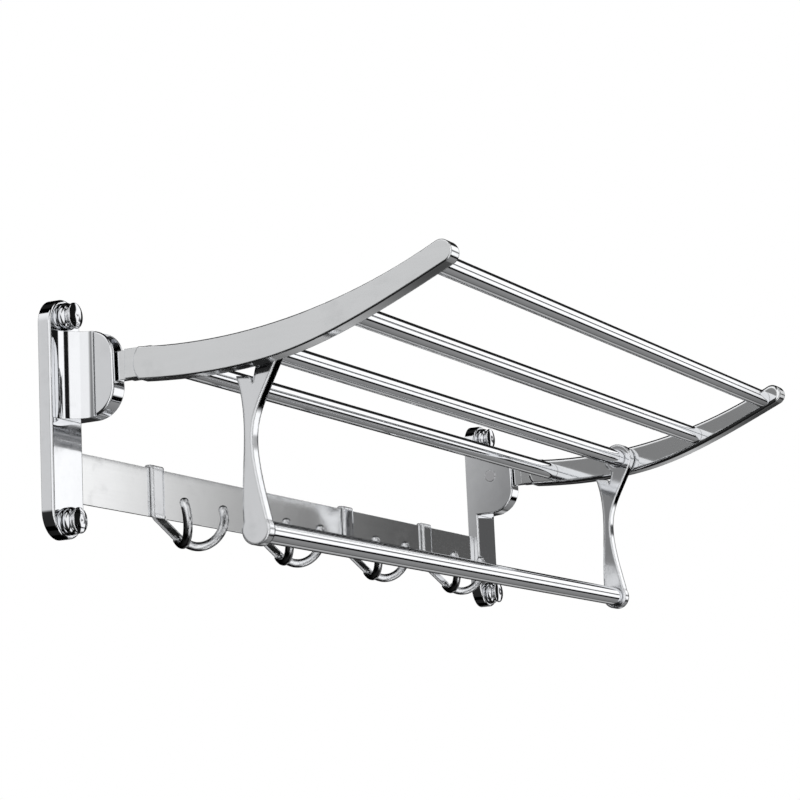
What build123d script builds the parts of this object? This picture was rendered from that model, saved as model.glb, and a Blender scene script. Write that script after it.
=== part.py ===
from build123d import *
import os

# Fold-up towel shelf for a bathroom wall, with a swinging towel rail and four sliding double hooks.
# Frame: origin on the wall midway between the four wall screws, X along the wall, the room on the
# -Y side, +Z up. Sizes are in millimetres. Side-view points are (y, z). Each left piece is modelled
# where it stands and mirrored for the right.

# Wall bases
BASE_PITCH = 569  # between the centre lines of the two bases
PLATE_WIDTH = 31
PLATE_HEIGHT = 137
PLATE_THICK = 8
SCREW_PITCH = 117  # between the two wall screws of one base
SCREW_HOLE = 5
CAP_POCKET = 14.6
CAP_POCKET_DEPTH = 4

# Hinge housing on each base, in line with the inboard edge of its plate
HOUSING_WIDTH = 12.6
HOUSING_LOW = -1
HOUSING_HIGH = 49.5
HOUSING_REACH = 37.8
CHIN_RADIUS = 18
BROW_RADIUS = 14.5
SCOOP_RADIUS = 17  # of the hollow outboard side, from the plate's edge to the flat cheek
CREASE = 1  # width and depth of the groove between scoop and cheek
CHEEK = 2
PIVOT_REACH = 20
PIVOT_HEIGHT = 27.6
PIN_DIA = 6
PIN_HEAD_DIA = 8.6
PIN_HEAD_SINK = 1.1
PIN_DEPTH = 12.2
RUNNING_GAP = 0.05  # radial, between a pin or bar and what turns on it
WASHER_DIA = 13
WASHER_THICK = 1.9

# Arms: flat castings, thinned at the wall end into a hinge tongue
ARM_THICK = 12
TONGUE_THICK = 4.6
TONGUE_RADIUS = 8.4
NECK_THICK = 10.6  # the step between tongue and arm
NECK_REACH = 44.5
ARM_ROOT = 54

# Shelf bars, front one first, and the towel rail
BAR_DIA = 12
BAR_BORE = 10
BAR_PLACES = [(-236, 60.8), (-183, 40.2), (-126, 28.4), (-69, 26)]
SPIGOT_DIA = 8
SPIGOT_DEPTH = 6
RAIL_DIA = 12.7
RAIL_PLACE = (-117.5, -72)
RAIL_SOCKET = 5

# Rail brackets, each hung on the third bar
BRACKET_THICK = 7
BRACKET_GAP = 2  # between arm and bracket, taken up by a collar
COLLAR_THICK = 1.8
EYE_RADIUS = 10.4
FOOT_RADIUS = 8.6

# Hook strip and hooks
STRIP_FRONT = 4  # from the wall to the strip's face
STRIP_THICK = 1.6
STRIP_HEIGHT = 29.2
STRIP_LOW = -46.2
STRIP_TUCK = 18  # how far each end runs in behind its base
HOOK_PLACES = [-184.5, -61.5, 61.5, 184.5]
HOOK_WIDTH = 13
HOOK_THICK = 1.75
HOOK_GAP = 0.25
PRONG_DIA = 5.5

# Places worked out from the sizes above
BASE_X = -BASE_PITCH / 2
OUTBOARD_X = BASE_X - PLATE_WIDTH / 2
INBOARD_X = BASE_X + PLATE_WIDTH / 2
SCOOP_X = OUTBOARD_X + 1.4
CREASE_Y = -PLATE_THICK - SCOOP_RADIUS
CHEEK_X = INBOARD_X - HOUSING_WIDTH
ARM_X = INBOARD_X - HOUSING_WIDTH / 2
ARM_INNER_X = ARM_X + ARM_THICK / 2
BRACKET_X = ARM_INNER_X + BRACKET_GAP
STRIP_HIGH = STRIP_LOW + STRIP_HEIGHT
LEDGE_HEIGHT = PIVOT_HEIGHT - TONGUE_RADIUS - 0.3
PIVOT = (-PIVOT_REACH, PIVOT_HEIGHT)


def write(piece, name):
    """Labels a finished piece and writes its STEP file."""
    piece.part.label = name
    export_step(piece.part, f"parts/{name}.step")


def write_pair(left, name):
    """Writes a left piece and its mirror image on the right."""
    write(left, f"{name}_left")
    with BuildPart() as right:
        mirror(left.part, about=Plane.YZ)
    write(right, f"{name}_right")


def outline_at(piece, x, reach):
    """The edges of a face square to X that lie further out from the wall than reach."""
    flat = piece.edges().filter_by_position(Axis.X, x - 0.01, x + 0.01)
    return [e for e in flat if e.bounding_box().size.X < 0.01 and e.center().Y < -reach]


os.makedirs("parts", exist_ok=True)

# ---- the hinge housing's side view, drawn on the face of its outboard cheek
with BuildSketch(Plane.YZ.offset(CHEEK_X)) as housing_side:
    with BuildLine():
        root_low = (-PLATE_THICK / 2, HOUSING_LOW)
        root_high = (-PLATE_THICK / 2, HOUSING_HIGH)
        FilletPolyline(root_low, (-HOUSING_REACH, HOUSING_LOW + 0.4), (1 - HOUSING_REACH, HOUSING_HIGH - 0.8),
                       root_high, radius=[CHIN_RADIUS, BROW_RADIUS])
        Line(root_high, root_low)
    make_face()

# ---- the housing's scooped outboard shoulder, from the plate's edge out to the crease
with BuildPart() as shoulder:
    extrude(housing_side.sketch, amount=SCOOP_X - CHEEK_X)
    extrude(housing_side.sketch, amount=1)
    with BuildSketch(Plane.XY.offset(HOUSING_LOW - 1)):
        with BuildLine():
            scoop = RadiusArc((SCOOP_X, -PLATE_THICK), (CHEEK_X, CREASE_Y), SCOOP_RADIUS)
            Polyline(scoop @ 1, (CHEEK_X + 1, CREASE_Y), (CHEEK_X + 1, 0), (SCOOP_X, 0), scoop @ 0)
        make_face()
    extrude(amount=HOUSING_HIGH - HOUSING_LOW + 2, mode=Mode.INTERSECT)

# ---- the base's wall plate
with BuildPart() as plate:
    with BuildSketch(Plane.XZ):
        with Locations((BASE_X, 0)):
            SlotOverall(PLATE_HEIGHT, PLATE_WIDTH, rotation=90)
    extrude(amount=PLATE_THICK)
    fillet(plate.faces().sort_by(Axis.Y)[0].edges(), 1.4)

# ---- wall bases: plate and hinge housing in one casting
with BuildPart() as base:
    extrude(housing_side.sketch, amount=HOUSING_WIDTH)

    # slot for the arm's tongue, with a ledge below that stops the shelf level
    with BuildSketch(Plane.YZ.offset(CHEEK_X + CHEEK)):
        with Locations((-PLATE_THICK - 1.5, LEDGE_HEIGHT)):
            Rectangle(HOUSING_REACH, HOUSING_HIGH, align=(Align.MAX, Align.MIN))
    extrude(amount=HOUSING_WIDTH - 2 * CHEEK, mode=Mode.SUBTRACT)
    root = PLATE_THICK / 2 + 0.1
    fillet(outline_at(base, CHEEK_X, root) + outline_at(base, INBOARD_X, root), 1.2)
    add(shoulder.part)
    add(plate.part)
    with BuildSketch(Plane.XY.offset(HOUSING_LOW - 1)):
        with Locations((CHEEK_X, CREASE_Y)):
            Rectangle(2 * CREASE, CREASE)
    extrude(amount=HOUSING_HIGH - HOUSING_LOW + 2, mode=Mode.SUBTRACT)

    # blind hole for the hinge pin, with a seat for its head
    with Locations(Plane.YZ.offset(INBOARD_X)):
        with Locations(PIVOT):
            CounterBoreHole(PIN_DIA / 2, PIN_HEAD_DIA / 2, PIN_HEAD_SINK, PIN_DEPTH)

    # wall screw holes, each at the bottom of the pocket that its cap presses into
    with Locations(Plane.XZ.offset(PLATE_THICK)):
        with Locations((BASE_X, -SCREW_PITCH / 2), (BASE_X, SCREW_PITCH / 2)):
            CounterBoreHole(SCREW_HOLE / 2, CAP_POCKET / 2, CAP_POCKET_DEPTH, PLATE_THICK)

    # rebate in the back for the end of the hook strip, with two blind screw holes
    with BuildSketch(Plane.XZ):
        with Locations((INBOARD_X, STRIP_LOW + STRIP_HEIGHT / 2)):
            Rectangle(2 * STRIP_TUCK, STRIP_HEIGHT)
    extrude(amount=STRIP_FRONT, mode=Mode.SUBTRACT)
    with BuildSketch(Plane.XZ.offset(STRIP_FRONT)):
        with Locations((INBOARD_X - STRIP_TUCK / 2, STRIP_LOW + 8), (INBOARD_X - STRIP_TUCK / 2, STRIP_HIGH - 8)):
            Circle(1.5)
    extrude(amount=3, mode=Mode.SUBTRACT)
write_pair(base, "base")

# ---- hinge pins, pressed in from the inboard side
with BuildPart() as pin:
    with BuildSketch(Plane.YZ.offset(INBOARD_X - PIN_DEPTH)):
        with Locations(PIVOT):
            Circle(PIN_DIA / 2)
    extrude(amount=PIN_DEPTH)
    with BuildSketch(Plane.YZ.offset(INBOARD_X - PIN_HEAD_SINK)):
        with Locations(PIVOT):
            Circle(PIN_HEAD_DIA / 2)
    extrude(amount=PIN_HEAD_SINK + 0.3)
    fillet(pin.faces().sort_by(Axis.X)[-1].edges(), 0.25)
write_pair(pin, "hinge_pin")

# ---- friction washers on both sides of each tongue
with BuildPart() as washers:
    for x in (CHEEK_X + CHEEK, INBOARD_X - CHEEK - WASHER_THICK):
        with BuildSketch(Plane.YZ.offset(x)):
            with Locations(PIVOT):
                Circle(WASHER_DIA / 2)
                Circle(PIN_DIA / 2 + 0.1, mode=Mode.SUBTRACT)
        extrude(amount=WASHER_THICK)
write_pair(washers, "hinge_washers")

# ---- screw caps: hollow turned covers with a waist and a domed crown
for level, height in (("upper", SCREW_PITCH / 2), ("lower", -SCREW_PITCH / 2)):
    with BuildPart() as cap:
        with BuildSketch(Plane.YZ.offset(BASE_X)):
            with BuildLine():
                bore = Polyline((-CAP_POCKET_DEPTH, height + 4.8), (-13, height + 4.8), (-14, height + 3.6),
                                (-14, height))
                top = Line(bore @ 1, (-16.4, height))
                crown = ThreePointArc(top @ 1, (-16.2, height + 4.6), (-15.5, height + 7.1))
                rim = ThreePointArc(crown @ 1, (-14.9, height + 7.5), (-14.2, height + 7.1))
                waist = ThreePointArc(rim @ 1, (-13.2, height + 5.8), (-12.2, height + 6.8))
                flange = ThreePointArc(waist @ 1, (-10.2, height + 8), (-PLATE_THICK, height + 7.6))
                seat = Polyline(flange @ 1, (-PLATE_THICK, height + CAP_POCKET / 2),
                                (-CAP_POCKET_DEPTH, height + CAP_POCKET / 2))
                Line(seat @ 1, bore @ 0)
            make_face()
        revolve(axis=Axis((BASE_X, 0, height), (0, 1, 0)))
    write_pair(cap, f"cap_{level}")

# ---- arms
with BuildPart() as arm:
    with BuildSketch(Plane.YZ.offset(ARM_X - ARM_THICK / 2)):
        with BuildLine():
            upper = ThreePointArc((-ARM_ROOT, 36.3), (-150, 40.2), (-240.6, 69.7))
            tip = ThreePointArc(upper @ 1, (-249.2, 66.7), (-246.2, 57.9))
            lower = Spline(tip @ 1, (-185, 32.2), (-150, 21.8), (-110, 16.6), (-ARM_ROOT, 17.5))
            ThreePointArc(lower @ 1, (-50.2, 27.2), upper @ 0)
        make_face()
    extrude(amount=ARM_THICK)
    fillet(outline_at(arm, ARM_X - ARM_THICK / 2, 40), 0.7)
    fillet(outline_at(arm, ARM_X + ARM_THICK / 2, 40), 2.4)

    # neck and tongue
    with BuildSketch(Plane.YZ.offset(ARM_X - NECK_THICK / 2)):
        with Locations((-NECK_REACH, PIVOT_HEIGHT)):
            Rectangle(ARM_ROOT + 8 - NECK_REACH, 2 * TONGUE_RADIUS, align=(Align.MAX, Align.CENTER))
    extrude(amount=NECK_THICK)
    with BuildSketch(Plane.YZ.offset(ARM_X - TONGUE_THICK / 2)):
        with Locations(PIVOT):
            Circle(TONGUE_RADIUS)
            Rectangle(ARM_ROOT + 8 - PIVOT_REACH, 2 * TONGUE_RADIUS, align=(Align.MAX, Align.CENTER))
    extrude(amount=TONGUE_THICK)
    with BuildSketch(Plane.YZ.offset(ARM_X - TONGUE_THICK / 2)):
        with Locations(PIVOT):
            Circle(PIN_DIA / 2 + RUNNING_GAP)
    extrude(amount=TONGUE_THICK, mode=Mode.SUBTRACT)

    # blind sockets for the ends of the shelf bars
    with BuildSketch(Plane.YZ.offset(ARM_INNER_X - SPIGOT_DEPTH)):
        with Locations(*BAR_PLACES):
            Circle(SPIGOT_DIA / 2)
    extrude(amount=SPIGOT_DEPTH, mode=Mode.SUBTRACT)
write_pair(arm, "arm")

# ---- shelf bars: tubes between the arms
for number, place in enumerate(BAR_PLACES, start=1):
    with BuildPart() as bar:
        with BuildSketch(Plane.YZ.offset(ARM_INNER_X)):
            with Locations(place):
                Circle(BAR_DIA / 2)
                Circle(BAR_BORE / 2, mode=Mode.SUBTRACT)
        extrude(amount=-2 * ARM_INNER_X)
    write(bar, f"shelf_bar_{number}")

# ---- bar plugs: one in each end of each bar, with a spigot that presses into the arm
with BuildPart() as plugs:
    with BuildSketch(Plane.YZ.offset(ARM_INNER_X)):
        with Locations(*BAR_PLACES):
            Circle(BAR_BORE / 2)
    extrude(amount=14)
    with BuildSketch(Plane.YZ.offset(ARM_INNER_X)):
        with Locations(*BAR_PLACES):
            Circle(SPIGOT_DIA / 2)
    extrude(amount=-SPIGOT_DEPTH)
write_pair(plugs, "bar_plugs")

# ---- collars on the third bar that hold the brackets off the arms
with BuildPart() as collar:
    with BuildSketch(Plane.YZ.offset(ARM_INNER_X)):
        with Locations(BAR_PLACES[2]):
            Circle(EYE_RADIUS - 1.5)
            Circle(BAR_DIA / 2, mode=Mode.SUBTRACT)
    extrude(amount=COLLAR_THICK)
write_pair(collar, "collar")

# ---- rail brackets: an eye on the third bar, a rear prong under the arm, a waist and a round foot
with BuildPart() as bracket:
    with BuildSketch(Plane.YZ.offset(BRACKET_X)):
        with BuildLine():
            rear = Spline((-108.4, 14.6), (-111.4, 1), (-111.6, -30), (-110.2, -69))
            sole = Line(rear @ 1, (-124.8, -67))
            front = Spline(sole @ 1, (-118, -34), (-118.4, -12), (-125, 4), (-135.8, 24.8))
            throat = Polyline(front @ 1, (-121.2, 19.4), (-118.6, 9.6), (-117.2, 13.4), rear @ 0)
        make_face()
        with Locations(BAR_PLACES[2]):
            Circle(EYE_RADIUS)
        with Locations(RAIL_PLACE):
            Circle(FOOT_RADIUS)
    extrude(amount=BRACKET_THICK)
    with BuildSketch(Plane.YZ.offset(BRACKET_X)):
        with Locations(BAR_PLACES[2]):
            Circle(BAR_DIA / 2 + RUNNING_GAP)
    extrude(amount=BRACKET_THICK, mode=Mode.SUBTRACT)
    with BuildSketch(Plane.YZ.offset(BRACKET_X + BRACKET_THICK - RAIL_SOCKET)):
        with Locations(RAIL_PLACE):
            Circle(RAIL_DIA / 2)
    extrude(amount=RAIL_SOCKET, mode=Mode.SUBTRACT)
write_pair(bracket, "rail_bracket")

# ---- towel rail
with BuildPart() as rail:
    rail_end = BRACKET_X + BRACKET_THICK - RAIL_SOCKET
    with BuildSketch(Plane.YZ.offset(rail_end)):
        with Locations(RAIL_PLACE):
            Circle(RAIL_DIA / 2)
            Circle(RAIL_DIA / 2 - 1, mode=Mode.SUBTRACT)
    extrude(amount=-2 * rail_end)
write(rail, "towel_rail")

# ---- hook strip, tucked in behind both bases
with BuildPart() as strip:
    strip_length = -2 * (INBOARD_X - STRIP_TUCK)
    with BuildSketch(Plane.XZ.offset(STRIP_FRONT - STRIP_THICK)):
        with Locations((0, STRIP_LOW + STRIP_HEIGHT / 2)):
            Rectangle(strip_length, STRIP_HEIGHT)
    extrude(amount=STRIP_THICK)
    with BuildSketch(Plane.XZ.offset(STRIP_FRONT - STRIP_THICK)):
        for side in (-1, 1):
            with Locations((side * (INBOARD_X - STRIP_TUCK / 2), STRIP_LOW + 8),
                           (side * (INBOARD_X - STRIP_TUCK / 2), STRIP_HIGH - 8)):
                Circle(1.6)
    extrude(amount=STRIP_THICK, mode=Mode.SUBTRACT)
write(strip, "hook_strip")

# ---- screws that hold the strip to the bases from behind
with BuildPart() as screws:
    screw_places = [(INBOARD_X - STRIP_TUCK / 2, STRIP_LOW + 8), (INBOARD_X - STRIP_TUCK / 2, STRIP_HIGH - 8)]
    with BuildSketch(Plane.XZ.offset(STRIP_FRONT - STRIP_THICK)):
        with Locations(*screw_places):
            Circle(1.5)
    extrude(amount=STRIP_THICK + 3)
    with BuildSketch(Plane.XZ.offset(STRIP_FRONT - STRIP_THICK)):
        with Locations(*screw_places):
            Circle(2.8)
    extrude(amount=-1.8)
write_pair(screws, "strip_screws")

# ---- double hooks, each hung over the strip's top edge and free to slide along it
for number, hook_x in enumerate(HOOK_PLACES, start=1):
    with BuildPart() as hook:
        lip_y = -STRIP_FRONT + STRIP_THICK + HOOK_GAP + HOOK_THICK / 2
        strap_y = -STRIP_FRONT - HOOK_GAP - HOOK_THICK / 2
        top_z = STRIP_HIGH + HOOK_GAP + HOOK_THICK / 2
        with BuildSketch(Plane.YZ.offset(hook_x - HOOK_WIDTH / 2)):
            with BuildLine():
                FilletPolyline((lip_y, top_z - 8), (lip_y, top_z), (strap_y, top_z), (strap_y, STRIP_LOW - 0.5),
                               (strap_y - 18, STRIP_LOW - 18.5), radius=[0.9, 0.9, 6])
            trace(line_width=HOOK_THICK)
        extrude(amount=HOOK_WIDTH)
        for side in (-1, 1):
            with BuildLine():
                root = Vector(hook_x + side * 3, strap_y - 14.5, STRIP_LOW - 15)
                bend = Vector(hook_x + side * 12, -30.6, -64.2)
                nose = Vector(hook_x + side * 19.3, -36.9, -55.9)
                end = Vector(hook_x + side * 22.4, -36.7, -42.6)
                prong = Spline(root, bend, nose, end)
            with BuildSketch(Plane(origin=prong @ 0, z_dir=prong % 0)):
                Circle(PRONG_DIA / 2)
            sweep(path=prong)
            with Locations(prong @ 1):
                Sphere(PRONG_DIA / 2)
    write(hook, f"hook_{number}")
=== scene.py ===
import bpy
from math import pi, radians
from mathutils import Matrix, Vector


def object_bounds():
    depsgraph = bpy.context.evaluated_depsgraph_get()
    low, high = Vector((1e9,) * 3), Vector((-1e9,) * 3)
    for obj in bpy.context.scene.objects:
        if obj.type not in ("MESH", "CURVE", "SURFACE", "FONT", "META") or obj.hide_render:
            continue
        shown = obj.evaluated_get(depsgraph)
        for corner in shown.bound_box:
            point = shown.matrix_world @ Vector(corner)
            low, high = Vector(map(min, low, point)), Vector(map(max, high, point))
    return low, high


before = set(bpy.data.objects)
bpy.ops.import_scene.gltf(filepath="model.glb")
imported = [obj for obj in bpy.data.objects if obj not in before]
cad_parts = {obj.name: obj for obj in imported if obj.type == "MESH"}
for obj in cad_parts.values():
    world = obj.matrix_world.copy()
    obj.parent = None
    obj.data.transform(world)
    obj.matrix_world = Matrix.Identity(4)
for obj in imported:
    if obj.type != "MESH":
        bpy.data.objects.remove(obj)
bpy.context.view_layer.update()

# ---- Wall bases
# Each base is one zinc die casting: a long plate with round ends and the housing for the shelf's hinge.
# It is ground, polished and chrome plated, so its faces are slightly wavy and its edges are a little worn.


def fill(tree, node, **inputs):
    """Fills or links a node's inputs, given by name, or by their place as i0, i1 and so on."""
    for key, value in inputs.items():
        by_place = key[0] == "i" and key[1:].isdigit()
        socket = node.inputs[int(key[1:]) if by_place else key.replace("_", " ")]
        if isinstance(value, bpy.types.NodeSocket):
            tree.links.new(value, socket)
        else:
            socket.default_value = value


def new_node(tree, kind, settings=None, **inputs):
    """Adds a node, sets its properties, and fills its inputs."""
    node = tree.nodes.new(kind)
    for key, value in (settings or {}).items():
        setattr(node, key, value)
    fill(tree, node, **inputs)
    return node


def maths(tree, operation, *values):
    """One sum on two or three values."""
    inputs = {f"i{place}": value for place, value in enumerate(values)}
    return new_node(tree, "ShaderNodeMath", {"operation": operation}, **inputs).outputs[0]


def rescale(tree, value, start, end, low=0.0, high=1.0, shape="LINEAR"):
    """Carries the run from start to end over to the run from low to high, and stays level beyond it."""
    return new_node(tree, "ShaderNodeMapRange", {"interpolation_type": shape}, Value=value, From_Min=start,
                    From_Max=end, To_Min=low, To_Max=high).outputs[0]


def noise(tree, place, scale, detail, roughness=0.5):
    """A cloudy pattern of values between 0 and 1."""
    return new_node(tree, "ShaderNodeTexNoise", Vector=place, Scale=scale, Detail=detail,
                    Roughness=roughness).outputs["Fac"]


def dimmed(tree, colour, share):
    """A colour made darker by a share."""
    return new_node(tree, "ShaderNodeVectorMath", {"operation": "SCALE"}, i0=colour, Scale=share).outputs[0]


def plating_group():
    """Polished plating: faint casting waves, polishing lines along the grain, and soft smudges."""
    group = bpy.data.node_groups.new("plating", "ShaderNodeTree")
    group.interface.new_socket("Grain", in_out="INPUT", socket_type="NodeSocketVector")
    for name in ("Waves", "Lines", "Shine"):
        group.interface.new_socket(name, in_out="INPUT", socket_type="NodeSocketFloat")
    for name in ("Tint", "Roughness", "Height"):
        group.interface.new_socket(name, in_out="OUTPUT", socket_type="NodeSocketFloat")
    given = group.nodes.new("NodeGroupInput").outputs
    place = new_node(group, "ShaderNodeTexCoord").outputs["Object"]
    stretched = new_node(group, "ShaderNodeVectorMath", {"operation": "MULTIPLY"}, i0=place,
                         i1=given["Grain"]).outputs[0]

    waves = noise(group, place, scale=34.0, detail=2.0, roughness=0.4)
    lines = noise(group, stretched, scale=1.0, detail=3.0, roughness=0.6)
    smudges = noise(group, place, scale=62.0, detail=5.0, roughness=0.55)
    smudge = rescale(group, smudges, 0.52, 0.74, low=0.0, high=0.045, shape="SMOOTHSTEP")
    streak = rescale(group, lines, 0.35, 0.75, low=0.0, high=0.05)
    marks = maths(group, "MULTIPLY_ADD", streak, given["Lines"], smudge)
    scratches = maths(group, "MULTIPLY", lines, given["Lines"])
    shallow = maths(group, "MULTIPLY", scratches, 0.012)
    fill(group, group.nodes.new("NodeGroupOutput"),
         Tint=rescale(group, marks, 0.0, 0.09, low=1.0, high=0.90),
         Roughness=maths(group, "ADD", marks, given["Shine"]),
         Height=maths(group, "MULTIPLY_ADD", waves, given["Waves"], shallow))
    return group


def worn_edge_group():
    """Mask of raised edges, where polishing has rounded the metal and cloths rub it."""
    group = bpy.data.node_groups.new("worn_edge", "ShaderNodeTree")
    group.interface.new_socket("Edge", in_out="OUTPUT", socket_type="NodeSocketFloat")
    place = new_node(group, "ShaderNodeTexCoord").outputs["Object"]
    raised = new_node(group, "ShaderNodeNewGeometry").outputs["Pointiness"]
    edge = rescale(group, raised, 0.53, 0.62, shape="SMOOTHSTEP")
    patches = noise(group, place, scale=240.0, detail=3.0)
    fill(group, group.nodes.new("NodeGroupOutput"), Edge=maths(group, "MULTIPLY", edge, patches))
    return group


PLATING = plating_group()
WORN_EDGE = worn_edge_group()
WAVE_DEPTH = 0.00004
EDGE_DULLING = 0.03
# How far the painted crevice shade reaches from a surface, and how dark it makes the colour there.
CREVICE_WIDTH = 0.0014
CREVICE_SHADE_DARKEST = 0.10
SHARP_CORNER = 0.0004


def new_material(name):
    """A new material, with its node tree and its shader."""
    material = bpy.data.materials.new(name)
    material.use_nodes = True
    return material, material.node_tree, material.node_tree.nodes["Principled BSDF"]


def metal(name, colour, grain, waves, lines, shine, corner=SHARP_CORNER):
    """A bright metal: its colour, how polishing lines run (stretch along X, Y, Z), how wavy, lined and dull
    it is, and how far polishing has rounded its corners."""
    material, tree, shader = new_material(name)
    finish = new_node(tree, "ShaderNodeGroup", {"node_tree": PLATING}, Grain=grain, Waves=waves, Lines=lines,
                      Shine=shine).outputs
    worn = new_node(tree, "ShaderNodeGroup", {"node_tree": WORN_EDGE}).outputs["Edge"]
    # Painted shade: where ambient occlusion finds creases, corners and narrow gaps, the base colour is
    # darkened, down to a tenth of its brightness, as if shade fell there.
    openness = new_node(tree, "ShaderNodeAmbientOcclusion", {"samples": 6}, Distance=CREVICE_WIDTH)
    painted_crevice_shade = rescale(tree, openness.outputs["AO"], 0.25, 0.72, low=CREVICE_SHADE_DARKEST, high=1.0, shape="SMOOTHSTEP")
    rounded = new_node(tree, "ShaderNodeBevel", {"samples": 6}, Radius=corner).outputs[0]
    bump = new_node(tree, "ShaderNodeBump", Strength=1.0, Distance=WAVE_DEPTH, Height=finish["Height"],
                    Normal=rounded)
    fill(tree, shader, Metallic=1.0, Normal=bump.outputs[0],
         Base_Color=dimmed(tree, dimmed(tree, colour, finish["Tint"]), painted_crevice_shade),
         Roughness=maths(tree, "MULTIPLY_ADD", worn, EDGE_DULLING, finish["Roughness"]))
    return material


def finish_node(node, material, smooth_angle=32):
    """Gives a CAD node its material and smooth rounds, with every edge over the angle kept crisp."""
    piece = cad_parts[node]
    piece.data.materials.clear()
    piece.data.materials.append(material)
    piece.data.shade_smooth()
    piece.data.set_sharp_from_angle(angle=radians(smooth_angle))


SIDES = ("left", "right")
CHROME = (0.80, 0.81, 0.83)
EVEN_GRAIN = (220.0, 220.0, 220.0)
casting_chrome = metal("casting_chrome", CHROME, EVEN_GRAIN, waves=1.0, lines=0.35, shine=0.035)
for side in SIDES:
    finish_node(f"base_{side}", casting_chrome)

# ---- Hinge pins and washers
# A turned steel pin is pressed through each housing from the inboard side, and its low domed head shows.
# Black nylon washers on it squeeze the arm's tongue, so the shelf stays where it is put.
pin_steel = metal("pin_steel", (0.74, 0.74, 0.76), (900.0, 160.0, 160.0), waves=0.2, lines=1.0, shine=0.08)
NYLON_BLACK = (0.022, 0.022, 0.024)
PEBBLE_DEPTH = 0.00004


def blend_colours(tree, share, first, second, kind="MIX"):
    """Mixes two colours by a share, or multiplies the first by the second."""
    return new_node(tree, "ShaderNodeMix", {"data_type": "RGBA", "blend_type": kind}, i0=share, i6=first,
                    i7=second).outputs[2]


def nylon(name, colour):
    """Moulded nylon: near black, matte, with a fine pebbled skin."""
    material, tree, shader = new_material(name)
    place = new_node(tree, "ShaderNodeTexCoord").outputs["Object"]
    pebbles = noise(tree, place, scale=2400.0, detail=2.0)
    clouds = noise(tree, place, scale=160.0, detail=3.0)
    paler = tuple(1.6 * c for c in colour)
    bump = new_node(tree, "ShaderNodeBump", Strength=0.4, Distance=PEBBLE_DEPTH, Height=pebbles)
    fill(tree, shader, Normal=bump.outputs[0],
         Base_Color=blend_colours(tree, clouds, (*colour, 1.0), (*paler, 1.0)),
         Roughness=rescale(tree, pebbles, 0.0, 1.0, low=0.42, high=0.62))
    return material


washer_nylon = nylon("washer_nylon", NYLON_BLACK)
for side in SIDES:
    finish_node(f"hinge_pin_{side}", pin_steel)
    finish_node(f"hinge_washers_{side}", washer_nylon)

# ---- Screw caps
# Hollow turned brass caps, chrome plated, pressed into the pockets over the wall screws.
# The waist is for a fingernail, and turning leaves fine rings around the crown.
cap_chrome = metal("cap_chrome", (0.76, 0.77, 0.79), (420.0, 420.0, 420.0), waves=0.3, lines=0.08, shine=0.03)
for side in SIDES:
    for level in ("upper", "lower"):
        finish_node(f"cap_{level}_{side}", cap_chrome)

# ---- Arms
# Flat zinc castings that sweep up to the front, thinned at the wall end into the hinge's tongue.
# Their broad sides are belt polished along their length before plating, which gives a softer shine.
arm_chrome = metal("arm_chrome", (0.80, 0.81, 0.82), (420.0, 26.0, 150.0), waves=0.9, lines=0.6, shine=0.06,
                   corner=0.0008)
for side in SIDES:
    finish_node(f"arm_{side}", arm_chrome)

# ---- Shelf bars
# Chrome plated steel tubes with a steel plug in each end, whose spigot presses into the arm.
# They are polished as they turn past the wheel, so the finest lines run along them.
TUBE_COLOUR = (0.83, 0.84, 0.86)
tube_chrome = metal("tube_chrome", TUBE_COLOUR, (14.0, 700.0, 700.0), waves=0.35, lines=0.5, shine=0.02)
plug_steel = metal("plug_steel", (0.50, 0.50, 0.52), (120.0, 600.0, 600.0), waves=0.2, lines=1.6, shine=0.22)
for number in range(1, 5):
    finish_node(f"shelf_bar_{number}", tube_chrome)
for side in SIDES:
    finish_node(f"bar_plugs_{side}", plug_steel)

# ---- Rail brackets and their collars
# Slim forked castings that hang from the third bar, with a thin waist and a round foot for the rail.
# A black nylon collar on the bar holds each one clear of its arm.
bracket_chrome = metal("bracket_chrome", CHROME, (300.0, 120.0, 30.0), waves=0.8, lines=0.4, shine=0.045,
                       corner=0.0022)
for side in SIDES:
    finish_node(f"rail_bracket_{side}", bracket_chrome)
    finish_node(f"collar_{side}", washer_nylon)

# ---- Towel rail
# The same plated tube as the bars, a little thicker, pressed into a socket in each bracket's foot.
rail_chrome = metal("rail_chrome", TUBE_COLOUR, (12.0, 650.0, 650.0), waves=0.4, lines=0.6, shine=0.022)
finish_node("towel_rail", rail_chrome)

# ---- Hook strip
# A flat rolled steel strip, plated like the rest, with the rolling grain along its length.
# Its ends tuck in behind the bases, where short screws hold them from the back.
strip_chrome = metal("strip_chrome", (0.78, 0.785, 0.79), (10.0, 500.0, 520.0), waves=0.5, lines=0.35,
                     shine=0.05)
finish_node("hook_strip", strip_chrome)
for side in SIDES:
    finish_node(f"strip_screws_{side}", pin_steel)

# ---- Double hooks
# Small castings: a flat clip that hangs over the strip, and two round prongs that fork from its foot.
# They are barrel polished and plated, so every corner is soft.
hook_chrome = metal("hook_chrome", CHROME, (260.0, 260.0, 260.0), waves=0.5, lines=0.3, shine=0.03,
                    corner=0.0030)
for number in range(1, 5):
    finish_node(f"hook_{number}", hook_chrome, smooth_angle=40)

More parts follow.
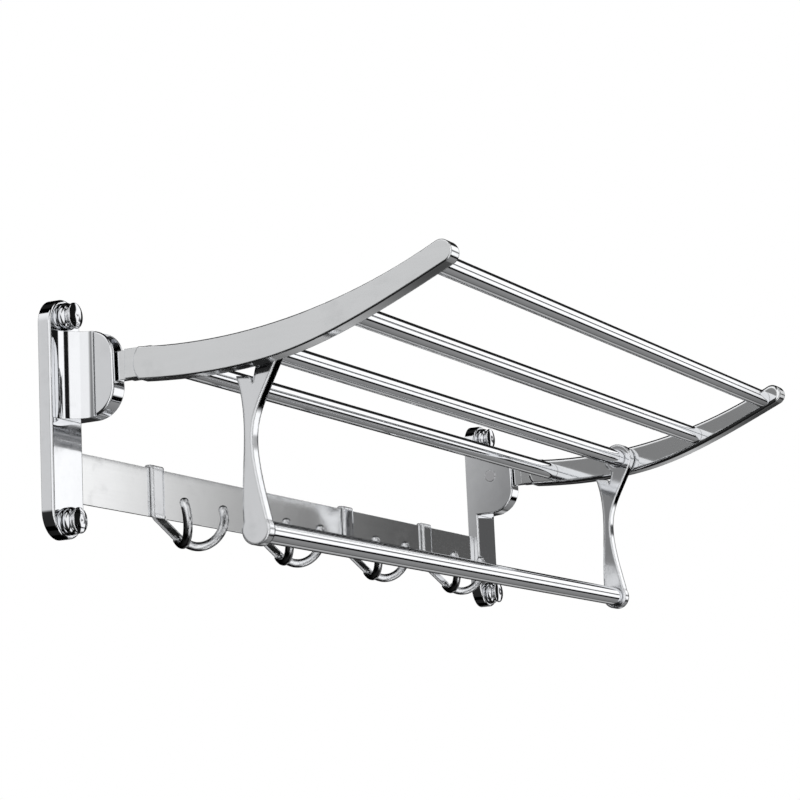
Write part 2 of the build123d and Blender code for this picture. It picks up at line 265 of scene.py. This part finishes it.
# ---- Studio
# A plain pale floor well below the rack, a white surround, and one broad soft panel overhead.
# Polished metal shows little but its surroundings, so bright and dark stretches stand all the way round it.
FLOOR_DROP = 0.75
FLOOR_HALF = 5.0
low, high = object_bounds()
floor_z = low[2] - FLOOR_DROP
corners = [(x * FLOOR_HALF, y * FLOOR_HALF, floor_z) for x, y in ((-1, -1), (1, -1), (1, 1), (-1, 1))]
floor_mesh = bpy.data.meshes.new("floor")
floor_mesh.from_pydata(corners, [], [(0, 1, 2, 3)])
floor = bpy.data.objects.new("floor", floor_mesh)
bpy.context.scene.collection.objects.link(floor)
floor_paint, floor_tree, floor_shader = new_material("floor_paint")
fill(floor_tree, floor_shader, Base_Color=(0.86, 0.86, 0.86, 1.0), Roughness=0.6)
floor_mesh.materials.append(floor_paint)
floor.visible_glossy = False


def light_ramp(tree, share, stops):
    """Brightness that follows a share: stops are (share, brightness), in order."""
    ramp = new_node(tree, "ShaderNodeValToRGB", Fac=share)
    elements = ramp.color_ramp.elements
    while len(elements) < len(stops):
        elements.new(0.5)
    for element, (place, light) in zip(elements, stops):
        element.position = place
        element.color = (light, light, light, 1.0)
    return ramp.outputs["Color"]


def ring(tree, angle, stops):
    """Brightness around the length of the rack: stops are (degrees up from straight ahead, brightness)."""
    share = rescale(tree, angle, -pi, pi)
    return light_ramp(tree, share, [((degrees_up + 180) / 360, light) for degrees_up, light in stops])


def columns(tree, along, stops):
    """Brightness by how far a direction leans along the rack: stops are (lean towards +X, brightness)."""
    share = rescale(tree, along, -1.0, 1.0)
    return light_ramp(tree, share, [((lean + 1) / 2, light) for lean, light in stops])


def soft_step(tree, value, start, end):
    """A smooth step from 0 to 1 as the value goes from start to end."""
    return rescale(tree, value, start, end, shape="SMOOTHSTEP")


world = bpy.data.worlds.new("studio")
bpy.context.scene.world = world
world.use_nodes = True
sky = world.node_tree
sky.nodes.clear()
direction = new_node(sky, "ShaderNodeTexCoord").outputs["Generated"]
way = new_node(sky, "ShaderNodeSeparateXYZ", Vector=direction).outputs
lean = way["X"]
angle_up = maths(sky, "ARCTAN2", way["Z"], maths(sky, "MULTIPLY", way["Y"], -1.0))
right_ring = ring(sky, angle_up, [
    (-180, 0.02), (-150, 0.03), (-118, 0.55), (-104, 0.05), (-96, 0.20), (-46, 0.30), (-40, 0.0), (-26, 0.0),
    (-20, 1.2), (66, 1.25), (74, 0.02), (120, 0.01), (165, 0.05), (180, 0.02)])
left_ring = ring(sky, angle_up, [
    (-180, 0.03), (-100, 0.02), (-70, 0.05), (-52, 1.15), (50, 1.15), (58, 0.10), (76, 0.05), (84, 1.05),
    (130, 1.05), (146, 0.72), (172, 0.70), (180, 0.05)])
left_far_ring = ring(sky, angle_up, [
    (-180, 0.03), (-100, 0.02), (-70, 0.05), (-52, 1.05), (128, 1.05), (146, 0.27), (172, 0.22), (180, 0.05)])
ahead = ring(sky, angle_up, [(-180, 0.0), (-75, 0.02), (-60, 1.0), (58, 1.0), (66, 0.02), (180, 0.0)])
low_band = ring(sky, angle_up, [(-180, 0.0), (9, 0.0), (12, 1.0), (23, 1.0), (26, 0.0), (180, 0.0)])

# To the right a ring of light goes dark at the very end, and sooner in a band a little above level.
DARK = (0.01, 0.01, 0.01, 1.0)
far_gloom = columns(sky, lean, [
    (-1.0, 1.0), (0.83, 1.0), (0.845, 0.68), (0.867, 0.30), (0.888, 0.09), (1.0, 0.06)])
right_open = blend_colours(sky, soft_step(sky, lean, 0.932, 0.950), right_ring, DARK)
right_gloomy = blend_colours(sky, 1.0, right_open, far_gloom, "MULTIPLY")
right_light = blend_colours(sky, low_band, right_open, right_gloomy)

# Straight ahead stand bright openings with dark stretches between them.
doorways = columns(sky, lean, [
    (-1.0, 0.0), (-0.40, 1.0), (-0.37, 0.01), (-0.10, 0.01), (-0.06, 1.2), (0.30, 1.2), (0.34, 0.01),
    (0.77, 0.01), (0.80, 1.0)])
middle_light = blend_colours(sky, 1.0, doorways, ahead, "MULTIPLY")

# To the left one ring gives way to another near the end, and then all three parts are joined.
left_light = blend_colours(sky, soft_step(sky, lean, -0.912, -0.888), left_far_ring, left_ring)
left_half = blend_colours(sky, soft_step(sky, lean, -0.44, -0.40), left_light, middle_light)
all_round = blend_colours(sky, soft_step(sky, lean, 0.785, 0.805), left_half, right_light)
panels = new_node(sky, "ShaderNodeBackground", Color=all_round, Strength=1.0)
surround = new_node(sky, "ShaderNodeBackground", Color=(1.0, 1.0, 1.0, 1.0), Strength=1.0)
seen = new_node(sky, "ShaderNodeLightPath").outputs["Is Camera Ray"]
blend = new_node(sky, "ShaderNodeMixShader", Fac=seen, i1=panels.outputs[0], i2=surround.outputs[0])
new_node(sky, "ShaderNodeOutputWorld", Surface=blend.outputs[0])

PANEL_PLACE = Vector((0.3, -0.9, 2.0))
PANEL_SIZE = (1.6, 1.0)
PANEL_POWER = 22
middle = (Vector(low) + Vector(high)) / 2
top_light = bpy.data.lights.new("top_panel", "AREA")
top_light.shape = "RECTANGLE"
top_light.size, top_light.size_y = PANEL_SIZE
top_light.energy = PANEL_POWER
top_panel = bpy.data.objects.new("top_panel", top_light)
bpy.context.scene.collection.objects.link(top_panel)
top_panel.location = PANEL_PLACE
top_panel.rotation_euler = (middle - PANEL_PLACE).to_track_quat("-Z", "Y").to_euler()
top_panel.visible_glossy = False

# ---- Camera
# It stands low and to the left, close to the wall's line, and looks up along the rack.
EYE = Vector((-1.5076, -0.8127, -0.2537))
LOOK = Vector((0.8836, 0.4328, 0.1786)).normalized()
ROLL = radians(-2.6034)
roll_turn = Matrix.Rotation(ROLL, 3, -LOOK)
sideways = LOOK.cross(Vector((0, 0, 1))).normalized()
across = roll_turn @ sideways
upward = roll_turn @ sideways.cross(LOOK)
camera = bpy.data.objects.new("camera", bpy.data.cameras.new("camera"))
bpy.context.scene.collection.objects.link(camera)
camera.data.sensor_width = 36.0
camera.data.lens = 117.6
camera.data.shift_x = 0.0084
camera.data.shift_y = -0.0169
camera.data.clip_start = 0.05
facing = Matrix((across, upward, -LOOK)).transposed()
camera.matrix_world = Matrix.Translation(EYE) @ facing.to_4x4()
bpy.context.scene.camera = camera
bpy.context.scene.view_settings.view_transform = "Standard"
